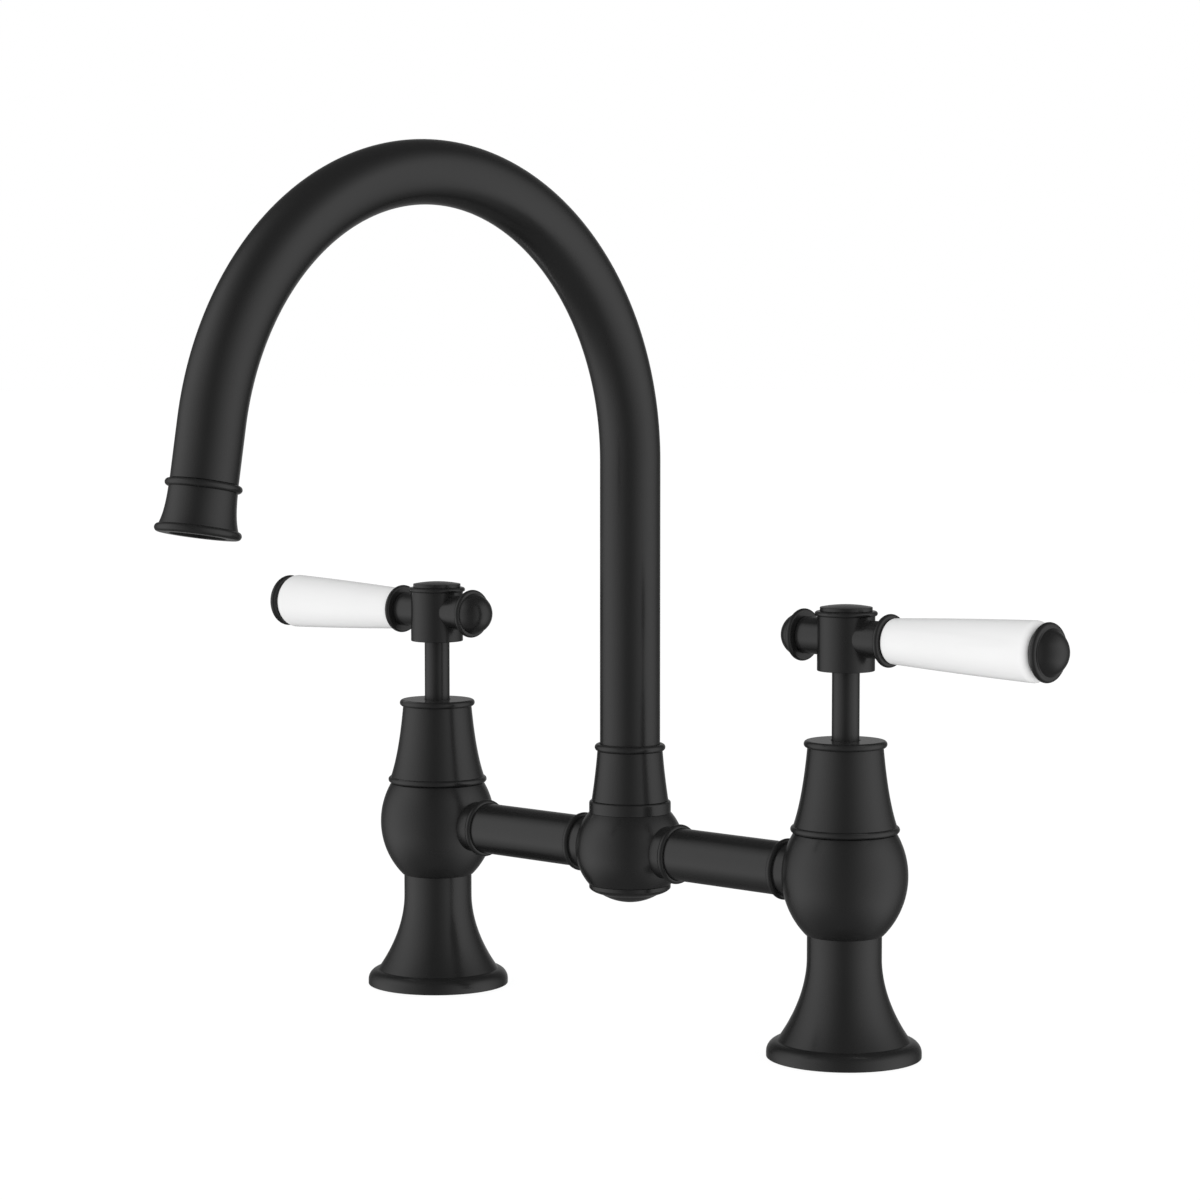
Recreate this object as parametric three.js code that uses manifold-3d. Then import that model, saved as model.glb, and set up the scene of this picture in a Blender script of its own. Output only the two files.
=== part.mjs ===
// A bridge kitchen tap: two quarter-turn valves on turned pillars, joined by a bridge whose centre
// body carries a swivelling gooseneck spout. Millimetres, +Z up, Z = 0 on the deck, the spout's
// axis on the Z axis, the left pillar at -X, the right one at +X, and the spout reaching to -Y.
import * as THREE from "three";
import { mergeVertices } from "three/addons/utils/BufferGeometryUtils.js";
import Module from "manifold-3d";

const wasm = await Module();
wasm.setup();

// ---- Driving dimensions ----
const deckCentres = 200; // between the two pillars' axes
const bridgeHeight = 62.8; // the bridge tubes' axis above the deck
const gap = 0.3; // clearance between neighbouring pieces
const facets = { large: 20, medium: 14, small: 8 }; // flats around a turned piece

const foot = {
  radius: 27,
  edge: 1.6, // height of the upright edge
  round: 4.2, // radius of the shoulder above it
  flareTop: 34.5,
  waist: 13,
  top: 42.5,
  bore: 10.8,
  gasketInner: 18,
  gasketOuter: 24,
  gasketThickness: 1.2,
};
const inlet = { radius: 10.5, bore: 6.8, bottom: 3, top: 49.7 };
const valve = {
  bottom: 42.8,
  top: 78,
  arcCentre: -7.35, // the belly's arc is wider than a sphere's
  arcHeight: 63.25,
  arcRadius: 29.3,
  neck: 14.2,
  neckTop: 84,
  cavity: 11,
  cavityFloor: 52.5,
  throat: 5.5,
  throatFloor: 50,
};
const bonnet = {
  bottom: 78.3,
  lowerBead: { radius: 18.95, height: 79.5, minor: 1.2 },
  upperBead: { radius: 14.45, height: 109.15, minor: 1.29 },
  coneBottom: 17.94,
  coneTop: 13.19,
  skirt: 14.5,
  wall: 1.7,
  lid: 1.5,
  hole: 5.2,
};
const cartridge = {
  bottom: 54.8,
  chamber: 7.7,
  chamberTop: 66,
  sleeve: 9.4,
  thread: 10.7,
  threadBottom: 69.5,
  nutBottom: 84.3,
  nutTop: 89.3,
  nutCorner: 12.7,
  neck: 7.8,
  top: 96,
  bore: 4,
  groove: 5.8,
  grooveBottom: 80,
  grooveTop: 82.4,
  windowHeight: 4.8,
  windowWidth: 8,
  windowCentre: 63,
};
const disc = { radius: 7.4, thickness: 2.5, port: 2.3, portOffset: 3.9 };
const spindle = { shaft: 3.6, carrier: 7.3, carrierWidth: 5, carrierTop: 64.5, top: 110 };

const union = {
  length: 9.9,
  sleeve: 9.45,
  sleeveLength: 7.3,
  ring: 10.85,
  bore: 7.3,
  socket: 9.8,
  socketDepth: 1.4,
};
const port = { bore: 7, seat: 9.75, seatAtCentre: 14.5, seatAtPillar: 17.1 };
const bridgeTube = { radius: 9.5, bore: 7.6 };

const centre = {
  bottom: 49.8,
  top: 75.9,
  ball: 20, // radius of the round body, about the bridge's axis
  neck: 12.2,
  neckTop: 82.5,
  swivelBore: 9.25,
  chamber: 12,
  chamberTop: 70,
  chamberFloor: 54,
  plugBore: 10.7,
};
const plug = { apex: 42.9, domeRadius: 20, domeEdge: 10.4, flange: 14.96, flangeTop: 49.5, top: 55 };
const lockRing = { bottom: 76.2, top: 80.35, radius: 14.96, bore: 12.5, round: 0.9 };
const hood = {
  bottom: 80.65,
  radius: 14.05,
  neck: 11.95,
  bead: { radius: 12.95, height: 99.95, minor: 1.3 },
  skirt: 12.5,
  shoulder: 85.5,
  bore: 11.3,
};
const nipple = {
  bottom: 70.5,
  journal: 9,
  groove: 7.2,
  grooveWidth: 2.4,
  grooves: [74, 79],
  flange: 12,
  flangeBottom: 82.8,
  flangeTop: 85.2,
  spigot: 9,
  top: 97,
  bore: 5.5,
};
const spout = {
  radius: 11,
  bore: 9.6,
  bottom: 85.5,
  springing: 204.3, // where the riser ends and the bend starts
  bend: 100.4,
  turn: 170, // degrees
  end: 19.1,
  rings: 36,
  boreSides: 10,
};
// Lengths from the end of the bend, along the outlet.
const nozzle = {
  spigotStart: 12,
  spigot: 9,
  spigotBore: 7.5,
  start: 19.4,
  bead: { radius: 12.45, at: 20.65, minor: 1.25 },
  throat: 11.1,
  bell: 12.9,
  lip: { radius: 14, at: 35.3, minor: 1.4 },
  bore: 9.2,
  boreStart: 24,
};
const aerator = { radius: 8.9, start: 26.8, end: 35.6, hole: 1.5, ring: 5.2, holes: 6 };
const aeratorWasher = { inner: 6.5, start: 24.3, end: 26.5 };

// The right handle sits a little higher on its spindle than the left one.
const leverHeight = { left: 144.4, right: 145.9 };
// Heights from the lever's axis.
const hub = {
  radius: 10,
  bottom: -11.4,
  chamfer: 0.4,
  bead: { radius: 10.85, height: 8.4, minor: 0.85 },
  stemBore: 5.1,
  webBottom: 3,
  webTop: 5,
  capBore: 7.4,
  screwHole: 2.2,
  arm: 6.5,
  armReach: 17.5,
  armHole: 2.8,
  armHoleDepth: 6,
};
const stem = { radius: 4.8, bottom: -47.5, socket: 3.9, socketTop: -33, top: 2.7, screwDepth: -9 };
const cap = { radius: 9.09, bottom: 9.55, edge: 10.6, apex: 11.5, plug: 7.1, cup: 5.5, plugBottom: 6.5 };
const screw = { shank: 1.9, tip: -8, head: 3.4, headTop: 8.3, key: 1.5, keyDepth: 1.8 };
// Distances from the spindle's axis, along the lever.
const collar = { at: 18.9, radius: 9.2, minor: 1.1, bore: 2.8 };
const finial = { at: 18.9, radius: 9.15, minor: 1.1, dome: 7.3, apex: 26.8, spigot: 2.5, spigotStart: 11.8 };
const rod = { radius: 2.5, start: 11.8, end: 87 };
const grip = { start: 20.3, end: 81.2, inner: 7.88, middle: 9.46, outer: 10.36, bore: 3.2, round: 1.2 };
const endCap = {
  at: 83.95,
  radius: 10.06,
  minor: 1.3,
  dome: 8,
  apex: 90.75,
  bore: 2.8,
  boreEnd: 87.4,
  seat: 8.6, // radius of the step that bears on the porcelain
  seatStart: 81.5,
};

// ---- Finishes ----
const finishes = {
  black: { color: 0x2a2a2b, roughness: 0.42, metalness: 0.5 },
  porcelain: { color: 0xf6f6f4, roughness: 0.12, metalness: 0 },
  brass: { color: 0xb5914c, roughness: 0.35, metalness: 1 },
  steel: { color: 0xa9abad, roughness: 0.3, metalness: 1 },
  alumina: { color: 0xe9e7df, roughness: 0.3, metalness: 0 },
  rubber: { color: 0x1b1b1b, roughness: 0.85, metalness: 0 },
  plastic: { color: 0x3c3d3f, roughness: 0.55, metalness: 0 },
};

function addPiece(group, name, geometry, finish) {
  const mesh = new THREE.Mesh(geometry, new THREE.MeshStandardMaterial(finishes[finish]));
  mesh.name = name;
  group.add(mesh);
}

// ---- Shapes ----
// Points [radius, height] on a circular arc of a profile, between two angles in degrees.
function arc([r, z], radius, from, to, steps) {
  return Array.from({ length: steps + 1 }, (_, i) => {
    const angle = THREE.MathUtils.degToRad(from + ((to - from) * i) / steps);
    return [r + radius * Math.cos(angle), z + radius * Math.sin(angle)];
  });
}

// Points on a profile's Bezier curve with three or four control points.
function bezier(controls, steps) {
  const points = controls.map(([r, z]) => new THREE.Vector2(r, z));
  const Curve = points.length === 3 ? THREE.QuadraticBezierCurve : THREE.CubicBezierCurve;
  return new Curve(...points).getPoints(steps).map((point) => [point.x, point.y]);
}

// A half-round bead, from its lower edge to its upper edge.
function bead({ radius, height, minor }) {
  return arc([radius - minor, height], minor, -90, 90, 3);
}

// A profile turned about +Z. It runs anticlockwise, from the axis back to the axis.
function turned(profile, sides) {
  const points = profile.map(([r, z]) => new THREE.Vector2(r, z));
  return new THREE.LatheGeometry(points, sides).rotateX(Math.PI / 2);
}

// A profile that stays off the axis, turned into a ring.
function turnedRing(profile, sides) {
  return turned([...profile, profile[0]], sides);
}

function ring(inner, outer, bottom, top, sides) {
  return turnedRing([[inner, bottom], [outer, bottom], [outer, top], [inner, top]], sides);
}

function bar(radius, bottom, top, sides) {
  return turned([[0, bottom], [radius, bottom], [radius, top], [0, top]], sides);
}

// The same geometry with its axis laid along +X.
function alongX(geometry) {
  return geometry.rotateY(Math.PI / 2);
}

function toSolid(geometry) {
  const bare = geometry.clone();
  bare.deleteAttribute("normal");
  bare.deleteAttribute("uv");
  const welded = mergeVertices(bare);
  return new wasm.Manifold(
    new wasm.Mesh({
      numProp: 3,
      vertProperties: welded.attributes.position.array,
      triVerts: new Uint32Array(welded.index.array),
    }),
  );
}

function toGeometry(solid) {
  const mesh = solid.getMesh();
  const geometry = new THREE.BufferGeometry();
  geometry.setAttribute("position", new THREE.BufferAttribute(mesh.vertProperties, 3));
  geometry.setIndex(new THREE.BufferAttribute(mesh.triVerts, 1));
  geometry.computeVertexNormals();
  return geometry;
}

function cut(geometry, ...tools) {
  return toGeometry(tools.reduce((left, tool) => left.subtract(toSolid(tool)), toSolid(geometry)));
}

function join(geometry, ...others) {
  return toGeometry(others.reduce((whole, other) => whole.add(toSolid(other)), toSolid(geometry)));
}

// The angle, in degrees, at which an arc of this radius reaches a height above its centre.
function angleAt(height, radius) {
  return THREE.MathUtils.radToDeg(Math.asin(height / radius));
}

// ---- Pillars ----
function footGeometry() {
  const recess = foot.gasketThickness + gap;
  const shoulder = [foot.radius - foot.round, foot.edge];
  const flareStart = [shoulder[0] + gap, foot.edge + foot.round];
  return turnedRing(
    [
      [foot.bore, 0],
      [foot.gasketInner - gap, 0],
      [foot.gasketInner - gap, recess],
      [foot.gasketOuter + gap, recess],
      [foot.gasketOuter + gap, 0],
      [foot.radius, 0],
      ...arc(shoulder, foot.round, 0, 80, 3),
      ...bezier([flareStart, [15.9, 16], [foot.waist, 26.3], [foot.waist, foot.flareTop]], 5),
      [foot.waist, foot.top],
      [foot.bore, foot.top],
    ],
    facets.large,
  );
}

// The seat that a union collar enters, and the water's way behind it, opening towards +X.
function portTools(seatStart, cavity) {
  const reach = foot.radius;
  return [
    alongX(bar(port.seat, seatStart, reach, facets.medium)).translate(0, 0, bridgeHeight),
    alongX(bar(port.bore, cavity - 1, seatStart + 1, facets.medium)).translate(0, 0, bridgeHeight),
  ];
}

function valveGeometry() {
  const from = angleAt(valve.bottom - valve.arcHeight, valve.arcRadius);
  const to = angleAt(valve.top - valve.arcHeight, valve.arcRadius);
  const body = turnedRing(
    [
      [foot.bore, valve.bottom],
      ...arc([valve.arcCentre, valve.arcHeight], valve.arcRadius, from, to, 6),
      [valve.neck, valve.top],
      [valve.neck, valve.neckTop],
      [valve.cavity, valve.neckTop],
      [valve.cavity, valve.cavityFloor],
      [valve.throat, valve.cavityFloor],
      [valve.throat, valve.throatFloor],
      [foot.bore, valve.throatFloor],
    ],
    facets.large,
  );
  return cut(body, ...portTools(port.seatAtPillar, valve.cavity));
}

function bonnetGeometry() {
  const coneStart = bonnet.lowerBead.height + bonnet.lowerBead.minor;
  const coneEnd = bonnet.upperBead.height - bonnet.upperBead.minor;
  const lidTop = bonnet.upperBead.height + bonnet.upperBead.minor;
  const lidBottom = lidTop - bonnet.lid;
  const skirtTop = valve.neckTop + gap;
  const inside = bezier(
    [
      [bonnet.coneTop - bonnet.wall, coneEnd],
      [13.2, 90.1],
      [15, skirtTop],
    ],
    2,
  );
  return turnedRing(
    [
      [bonnet.skirt, bonnet.bottom],
      ...bead(bonnet.lowerBead),
      ...bezier([[bonnet.coneBottom, coneStart], [14.79, 90.1], [bonnet.coneTop, coneEnd]], 3),
      ...bead(bonnet.upperBead),
      [bonnet.hole, lidTop],
      [bonnet.hole, lidBottom],
      [bonnet.coneTop - bonnet.wall, lidBottom],
      ...inside,
      [bonnet.skirt, skirtTop],
    ],
    facets.large,
  );
}

function cartridgeGeometry() {
  const body = turnedRing(
    [
      [cartridge.chamber, cartridge.bottom],
      [cartridge.sleeve, cartridge.bottom],
      [cartridge.sleeve, cartridge.threadBottom],
      [cartridge.thread, cartridge.threadBottom],
      [cartridge.thread, cartridge.nutTop],
      [cartridge.neck, cartridge.nutTop],
      [cartridge.neck, cartridge.top],
      [cartridge.bore, cartridge.top],
      [cartridge.bore, cartridge.grooveTop],
      [cartridge.groove, cartridge.grooveTop],
      [cartridge.groove, cartridge.grooveBottom],
      [cartridge.bore, cartridge.grooveBottom],
      [cartridge.bore, cartridge.chamberTop],
      [cartridge.chamber, cartridge.chamberTop],
    ],
    facets.medium,
  );
  const nut = ring(cartridge.groove + 1, cartridge.nutCorner, cartridge.nutBottom, cartridge.nutTop, 6);
  const windows = new THREE.BoxGeometry(
    cartridge.windowWidth,
    4 * cartridge.sleeve,
    cartridge.windowHeight,
  ).translate(0, 0, cartridge.windowCentre);
  return cut(join(body, nut), windows);
}

// One of the two ceramic discs that slide on each other: the ports line up at a quarter turn.
function discGeometry(bottom, portAngle) {
  const body = bar(disc.radius, bottom, bottom + disc.thickness, facets.medium);
  const ports = [0, Math.PI].map((side) =>
    bar(disc.port, bottom - 1, bottom + disc.thickness + 1, facets.small)
      .translate(disc.portOffset, 0, 0)
      .rotateZ(portAngle + side),
  );
  return cut(body, ...ports);
}

// The carrier under the shaft is a bar across the moving disc, which leaves the disc's ports open.
function spindleGeometry(bottom) {
  const body = turned(
    [
      [0, bottom],
      [spindle.carrier, bottom],
      [spindle.carrier, spindle.carrierTop],
      [spindle.shaft, spindle.carrierTop],
      [spindle.shaft, spindle.top],
      [0, spindle.top],
    ],
    facets.small,
  );
  const height = 2 * (spindle.carrierTop - bottom);
  const flats = [-1, 1].map((side) =>
    new THREE.BoxGeometry(4 * spindle.carrier, spindle.carrier, height).translate(
      0,
      (side * (spindle.carrierWidth + spindle.carrier)) / 2,
      bottom,
    ),
  );
  return cut(body, ...flats);
}

const fixedDiscBottom = cartridge.bottom + gap;
const movingDiscBottom = fixedDiscBottom + disc.thickness + gap;
const spindleBottom = movingDiscBottom + disc.thickness + gap;

// A pillar stands at its group's origin, with the bridge leaving it towards +X.
function makePillar(side) {
  const group = new THREE.Group();
  const oRingHeight = (cartridge.grooveBottom + cartridge.grooveTop) / 2;
  const gasket = ring(foot.gasketInner, foot.gasketOuter, 0, foot.gasketThickness, facets.large);
  const seal = ring(5.8, 9, valve.cavityFloor + gap, cartridge.bottom - gap, facets.small);
  const tail = ring(inlet.bore, inlet.radius, inlet.bottom, inlet.top, facets.medium);
  const oRing = new THREE.TorusGeometry(4.75, 0.75, 6, facets.small).translate(0, 0, oRingHeight);

  addPiece(group, `${side}_foot`, footGeometry(), "black");
  addPiece(group, `${side}_foot_gasket`, gasket, "rubber");
  addPiece(group, `${side}_inlet_bush`, tail, "brass");
  addPiece(group, `${side}_valve_body`, valveGeometry(), "black");
  addPiece(group, `${side}_bonnet`, bonnetGeometry(), "black");
  addPiece(group, `${side}_seat_seal`, seal, "rubber");
  addPiece(group, `${side}_fixed_disc`, discGeometry(fixedDiscBottom, 0), "alumina");
  addPiece(group, `${side}_cartridge_housing`, cartridgeGeometry(), "brass");
  addPiece(group, `${side}_spindle_o_ring`, oRing, "rubber");
  return group;
}

// ---- Handles ----
// A round button with a rolled rim, a narrow flat ledge and a broad dome, as a profile that starts at
// the rim's back edge. Its distances run along the lever, away from the spindle.
function buttonFront({ at, radius, minor, dome, apex }) {
  const rim = arc([radius - minor, at], minor, -90, 100, 5);
  const step = rim.at(-1)[1] - (apex - dome); // the dome starts level with the rim's end
  const from = THREE.MathUtils.radToDeg(Math.asin(step / dome));
  return [...rim, ...arc([0, apex - dome], dome, from, 90, 4)];
}

function hubGeometry() {
  const body = turned(
    [
      [0, hub.bottom],
      [hub.radius - hub.chamfer, hub.bottom],
      [hub.radius, hub.bottom + hub.chamfer],
      [hub.radius, hub.bead.height - hub.bead.minor],
      ...bead(hub.bead),
      [0, hub.bead.height + hub.bead.minor],
    ],
    facets.medium,
  );
  const arm = alongX(bar(hub.arm, -hub.armReach, hub.armReach, facets.medium));
  const holeStart = hub.armReach - hub.armHoleDepth;
  return cut(
    join(body, arm),
    bar(hub.stemBore, hub.bottom - 1, hub.webBottom, facets.medium),
    bar(hub.screwHole, hub.webBottom - 1, hub.webTop + 1, facets.small),
    bar(hub.capBore, hub.webTop, hub.bead.height + 2, facets.medium),
    alongX(bar(hub.armHole, holeStart, hub.armReach + 1, facets.small)),
    alongX(bar(hub.armHole, -hub.armReach - 1, -holeStart, facets.small)),
  );
}

function stemGeometry() {
  return turned(
    [
      [0, stem.socketTop],
      [stem.socket, stem.socketTop],
      [stem.socket, stem.bottom],
      [stem.radius, stem.bottom],
      [stem.radius, stem.top],
      [hub.screwHole, stem.top],
      [hub.screwHole, stem.screwDepth],
      [0, stem.screwDepth],
    ],
    facets.medium,
  );
}

function capGeometry() {
  const rise = cap.apex - cap.edge;
  const domeRadius = (cap.radius ** 2 + rise ** 2) / (2 * rise);
  const domeCentre = cap.apex - domeRadius;
  const from = angleAt(cap.edge - domeCentre, domeRadius);
  return turned(
    [
      [0, cap.bottom - 1],
      [cap.cup, cap.bottom - 1],
      [cap.cup, cap.plugBottom],
      [cap.plug, cap.plugBottom],
      [cap.plug, cap.bottom],
      [cap.radius, cap.bottom],
      ...arc([0, domeCentre], domeRadius, from, 90, 3),
    ],
    facets.medium,
  );
}

function screwGeometry() {
  const body = turned(
    [
      [0, screw.tip],
      [screw.shank, screw.tip],
      [screw.shank, hub.webTop + gap],
      [screw.head, hub.webTop + gap],
      [screw.head, screw.headTop],
      [0, screw.headTop],
    ],
    facets.small,
  );
  return cut(body, bar(screw.key, screw.headTop - screw.keyDepth, screw.headTop + 1, 6));
}

function finialGeometry() {
  const back = finial.at - finial.minor;
  return turned(
    [
      [0, finial.spigotStart],
      [finial.spigot, finial.spigotStart],
      [finial.spigot, back],
      ...buttonFront(finial),
    ],
    facets.medium,
  );
}

function endCapGeometry() {
  const back = endCap.at - endCap.minor;
  return turned(
    [
      [0, endCap.boreEnd],
      [endCap.bore, endCap.boreEnd],
      [endCap.bore, endCap.seatStart],
      [endCap.seat, endCap.seatStart],
      [endCap.seat, back],
      ...buttonFront(endCap),
    ],
    facets.medium,
  );
}

function collarGeometry() {
  const rim = arc([collar.radius - collar.minor, collar.at], collar.minor, -90, 90, 3);
  return turnedRing(
    [[collar.bore, collar.at - collar.minor], ...rim, [collar.bore, collar.at + collar.minor]],
    facets.medium,
  );
}

function gripGeometry() {
  const taper = bezier(
    [
      [grip.inner, grip.start + grip.round],
      [grip.middle, 50],
      [grip.outer, grip.end - 2 * grip.round],
    ],
    4,
  );
  const shoulder = [grip.outer - 2 * grip.round, grip.end - 2 * grip.round];
  return turnedRing(
    [
      [grip.bore, grip.start],
      [grip.inner - grip.round, grip.start],
      ...taper,
      ...arc(shoulder, 2 * grip.round, 30, 90, 2),
      [grip.bore, grip.end],
    ],
    facets.medium,
  );
}

// A handle turns about its group's origin, which is on the lever's axis. The lever points to +X.
function makeHandle(side) {
  const group = new THREE.Group();
  const height = leverHeight[side];
  // The lever lies square to its ports when the valve is shut.
  const movingDisc = discGeometry(movingDiscBottom, Math.PI / 2).translate(0, 0, -height);
  const shaft = spindleGeometry(spindleBottom).translate(0, 0, -height);
  const tieRod = alongX(bar(rod.radius, rod.start, rod.end, facets.small));

  addPiece(group, `${side}_moving_disc`, movingDisc, "alumina");
  addPiece(group, `${side}_spindle`, shaft, "brass");
  addPiece(group, `${side}_stem`, stemGeometry(), "black");
  addPiece(group, `${side}_handle_hub`, hubGeometry(), "black");
  addPiece(group, `${side}_handle_screw`, screwGeometry(), "steel");
  addPiece(group, `${side}_hub_cap`, capGeometry(), "black");
  addPiece(group, `${side}_finial`, alongX(finialGeometry()).rotateZ(Math.PI), "black");
  addPiece(group, `${side}_grip_collar`, alongX(collarGeometry()), "black");
  addPiece(group, `${side}_grip_rod`, tieRod, "steel");
  addPiece(group, `${side}_porcelain_grip`, alongX(gripGeometry()), "porcelain");
  addPiece(group, `${side}_grip_end_cap`, alongX(endCapGeometry()), "black");
  return group;
}

// ---- Bridge ----
// A union collar along +X: its plain sleeve enters a body at the start, and its ring takes the
// bridge tube at the end.
function unionGeometry() {
  const minor = (union.length - union.sleeveLength) / 2;
  const socketStart = union.length - union.socketDepth;
  return alongX(
    turnedRing(
      [
        [union.bore, 0],
        [union.sleeve, 0],
        [union.sleeve, union.sleeveLength],
        ...arc([union.ring - minor, union.length - minor], minor, -90, 75, 3),
        [union.socket, union.length],
        [union.socket, socketStart],
        [union.bore, socketStart],
      ],
      facets.medium,
    ),
  );
}

// Half of the bridge, from the centre body to the pillar at +X.
function makeHalfBridge(side) {
  const group = new THREE.Group();
  const innerStart = port.seatAtCentre + gap;
  const outerStart = deckCentres / 2 - port.seatAtPillar - gap;
  const tubeInset = union.length - union.socketDepth + gap;
  const tube = ring(
    bridgeTube.bore,
    bridgeTube.radius,
    innerStart + tubeInset,
    outerStart - tubeInset,
    facets.medium,
  );
  const outer = unionGeometry().rotateZ(Math.PI).translate(outerStart, 0, 0);

  addPiece(group, `${side}_inner_union`, unionGeometry().translate(innerStart, 0, 0), "black");
  addPiece(group, `${side}_bridge_tube`, alongX(tube), "black");
  addPiece(group, `${side}_outer_union`, outer, "black");
  return group;
}

function centreGeometry() {
  const from = angleAt(centre.bottom - bridgeHeight, centre.ball);
  const to = angleAt(centre.top - bridgeHeight, centre.ball);
  const body = turnedRing(
    [
      [centre.plugBore, centre.bottom],
      ...arc([0, bridgeHeight], centre.ball, from, to, 5),
      [centre.neck, centre.top],
      [centre.neck, centre.neckTop],
      [centre.swivelBore, centre.neckTop],
      [centre.swivelBore, centre.chamberTop],
      [centre.chamber, centre.chamberTop],
      [centre.chamber, centre.chamberFloor],
      [centre.plugBore, centre.chamberFloor],
    ],
    facets.large,
  );
  const rightPort = portTools(port.seatAtCentre, centre.chamber - 2);
  const leftPort = rightPort.map((tool) => tool.clone().rotateZ(Math.PI));
  return cut(body, ...rightPort, ...leftPort);
}

function plugGeometry() {
  const edgeAngle = THREE.MathUtils.radToDeg(Math.acos(plug.domeEdge / plug.domeRadius));
  const dome = arc([0, plug.apex + plug.domeRadius], plug.domeRadius, -90, -edgeAngle, 3);
  const spigot = centre.plugBore - gap;
  return turned(
    [
      ...dome,
      ...bezier([dome.at(-1), [11.2, 46.3], [13.8, 46.6], [plug.flange, 48.3]], 4).slice(1),
      [plug.flange, plug.flangeTop],
      [spigot, plug.flangeTop],
      [spigot, plug.top],
      [0, plug.top],
    ],
    facets.large,
  );
}

function lockRingGeometry() {
  const shoulder = [lockRing.radius - lockRing.round, lockRing.top - lockRing.round];
  return turnedRing(
    [
      [lockRing.bore, lockRing.bottom],
      [lockRing.radius, lockRing.bottom],
      ...arc(shoulder, lockRing.round, 0, 90, 2),
      [lockRing.bore, lockRing.top],
    ],
    facets.large,
  );
}

function hoodGeometry() {
  const coneEnd = hood.bead.height - hood.bead.minor;
  const top = hood.bead.height + hood.bead.minor;
  return turnedRing(
    [
      [hood.skirt, hood.bottom],
      ...bezier([[hood.radius, hood.bottom], [12.63, 90], [hood.neck, coneEnd]], 3),
      ...bead(hood.bead),
      [hood.bore, top],
      [hood.bore, hood.shoulder],
      [hood.skirt, hood.shoulder],
    ],
    facets.large,
  );
}

function makeCentre() {
  const group = new THREE.Group();
  addPiece(group, "centre_body", centreGeometry(), "black");
  addPiece(group, "bottom_plug", plugGeometry(), "black");
  addPiece(group, "lock_ring", lockRingGeometry(), "black");
  addPiece(group, "spout_hood", hoodGeometry(), "black");
  return group;
}

// ---- Spout ----
const spoutTurn = THREE.MathUtils.degToRad(spout.turn);

// The spout's centre line: a straight riser, one bend and a short straight outlet, in the X = 0 plane.
class Gooseneck extends THREE.Curve {
  getPoint(t, target = new THREE.Vector3()) {
    const riser = spout.springing - spout.bottom;
    const bendLength = spout.bend * spoutTurn;
    const travelled = t * (riser + bendLength + spout.end);
    if (travelled < riser) return target.set(0, 0, spout.bottom + travelled);
    const angle = Math.min((travelled - riser) / spout.bend, spoutTurn);
    const past = Math.max(travelled - riser - bendLength, 0);
    const y = -spout.bend * (1 - Math.cos(angle)) - past * Math.sin(angle);
    const z = spout.springing + spout.bend * Math.sin(angle) + past * Math.cos(angle);
    return target.set(0, y, z);
  }
}

function circle(radius, sides) {
  return Array.from({ length: sides }, (_, i) => {
    const angle = (2 * Math.PI * i) / sides;
    return new THREE.Vector2(radius * Math.cos(angle), radius * Math.sin(angle));
  });
}

function spoutGeometry() {
  const section = new THREE.Shape(circle(spout.radius, facets.medium));
  section.holes.push(new THREE.Path(circle(spout.bore, spout.boreSides)));
  return new THREE.ExtrudeGeometry(section, {
    steps: spout.rings,
    extrudePath: new Gooseneck(),
  });
}

function nippleGeometry() {
  const half = nipple.grooveWidth / 2;
  const grooves = nipple.grooves.flatMap((height) => [
    [nipple.journal, height - half],
    [nipple.groove, height - half],
    [nipple.groove, height + half],
    [nipple.journal, height + half],
  ]);
  return turnedRing(
    [
      [nipple.bore, nipple.bottom],
      [nipple.journal, nipple.bottom],
      ...grooves,
      [nipple.journal, nipple.flangeBottom],
      [nipple.flange, nipple.flangeBottom],
      [nipple.flange, nipple.flangeTop],
      [nipple.spigot, nipple.flangeTop],
      [nipple.spigot, nipple.top],
      [nipple.bore, nipple.top],
    ],
    facets.medium,
  );
}

function nozzleGeometry() {
  const beadEnd = nozzle.bead.at + nozzle.bead.minor;
  const bellEnd = nozzle.lip.at - nozzle.lip.minor;
  const rimEnd = nozzle.lip.at + nozzle.lip.minor;
  return turnedRing(
    [
      [nozzle.spigotBore, nozzle.spigotStart],
      [nozzle.spigot, nozzle.spigotStart],
      [nozzle.spigot, nozzle.start],
      ...bead({ ...nozzle.bead, height: nozzle.bead.at }),
      ...bezier([[nozzle.throat, beadEnd], [nozzle.throat + 0.1, 29], [nozzle.bell, bellEnd]], 4),
      ...bead({ ...nozzle.lip, height: nozzle.lip.at }).slice(1),
      [nozzle.bore, rimEnd],
      [nozzle.bore, nozzle.boreStart],
      [nozzle.spigotBore, nozzle.boreStart],
    ],
    facets.medium,
  );
}

function aeratorGeometry() {
  const body = bar(aerator.radius, aerator.start, aerator.end, facets.medium);
  const hole = () => bar(aerator.hole, aerator.start - 1, aerator.end + 1, 6);
  const around = Array.from({ length: aerator.holes }, (_, i) =>
    hole()
      .translate(aerator.ring, 0, 0)
      .rotateZ((2 * Math.PI * i) / aerator.holes),
  );
  return cut(body, hole(), ...around);
}

function makeOutlet() {
  const group = new THREE.Group();
  const washer = ring(
    aeratorWasher.inner,
    aerator.radius,
    aeratorWasher.start,
    aeratorWasher.end,
    facets.medium,
  );
  addPiece(group, "nozzle", nozzleGeometry(), "black");
  addPiece(group, "aerator_washer", washer, "rubber");
  addPiece(group, "aerator", aeratorGeometry(), "plastic");
  group.rotation.x = spoutTurn;
  group.position.set(
    0,
    -spout.bend * (1 - Math.cos(spoutTurn)),
    spout.springing + spout.bend * Math.sin(spoutTurn),
  );
  return group;
}

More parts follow.
